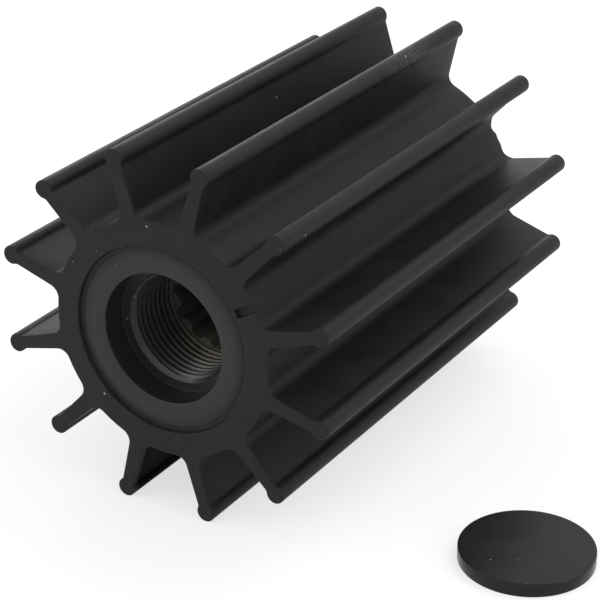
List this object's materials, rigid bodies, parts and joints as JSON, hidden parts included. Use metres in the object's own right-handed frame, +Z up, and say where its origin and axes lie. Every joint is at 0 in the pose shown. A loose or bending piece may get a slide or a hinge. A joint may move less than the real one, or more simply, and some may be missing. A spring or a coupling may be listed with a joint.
{
  "type": "rubber pump impeller",
  "caption": "Flexible rubber pump impeller with straight beaded blades moulded round a threaded and splined metal insert, with its round end plug beside it.",
  "frame": {"origin": "on the shaft axis, in the plane of the insert's front face, which is the mouth of the plug seat", "axes": "+Y along the shaft axis from the front face to the rear face; +Z up, with the impeller lying on two blade tips; +X to the right as seen from the front, towards the end plug"},
  "size_m": [0.1553, 0.13, 0.0968],
  "materials": {
    "moulded_rubber": "matt black moulded rubber, smoother on the flanks and bead tips",
    "insert_metal": "turned bronze under a thin dark bonding coat, bare and dull in the bore",
    "plug_rubber": "smooth satin black rubber"
  },
  "bodies": {
    "root": {"rubber_body": "moulded_rubber", "hub_insert": "insert_metal", "end_plug": "plug_rubber"}
  },
  "joints": []
}
